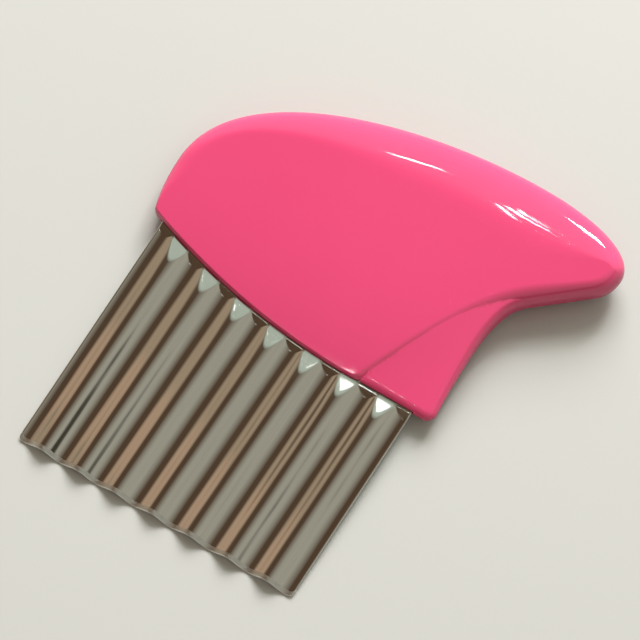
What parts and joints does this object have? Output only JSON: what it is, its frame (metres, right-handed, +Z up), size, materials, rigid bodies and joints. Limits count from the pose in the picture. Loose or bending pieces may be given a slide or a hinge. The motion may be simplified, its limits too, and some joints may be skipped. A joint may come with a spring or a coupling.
{
  "type": "crinkle cutter",
  "caption": "Hand-held crinkle cutter: a corrugated polished steel blade with a ground edge, held in a glossy moulded grip with a fin over the fingers.",
  "frame": {"origin": "middle of the footprint, on the surface that the tool lies on", "axes": "+X along the cutting edge towards the fin, +Y from the cutting edge towards the grip, +Z up from the surface. The tool lies on its cutting edge and on the back of its grip, so the blade's plane slopes up by about 2.4 degrees towards +Y."},
  "size_m": [0.1018, 0.1144, 0.0112],
  "materials": {
    "blade_steel": "mirror-polished stainless steel",
    "handle_plastic": "glossy hot pink moulded ABS"
  },
  "bodies": {
    "root": {"blade": "blade_steel", "handle_front_shell": "handle_plastic", "handle_rear_shell": "handle_plastic"}
  },
  "joints": []
}
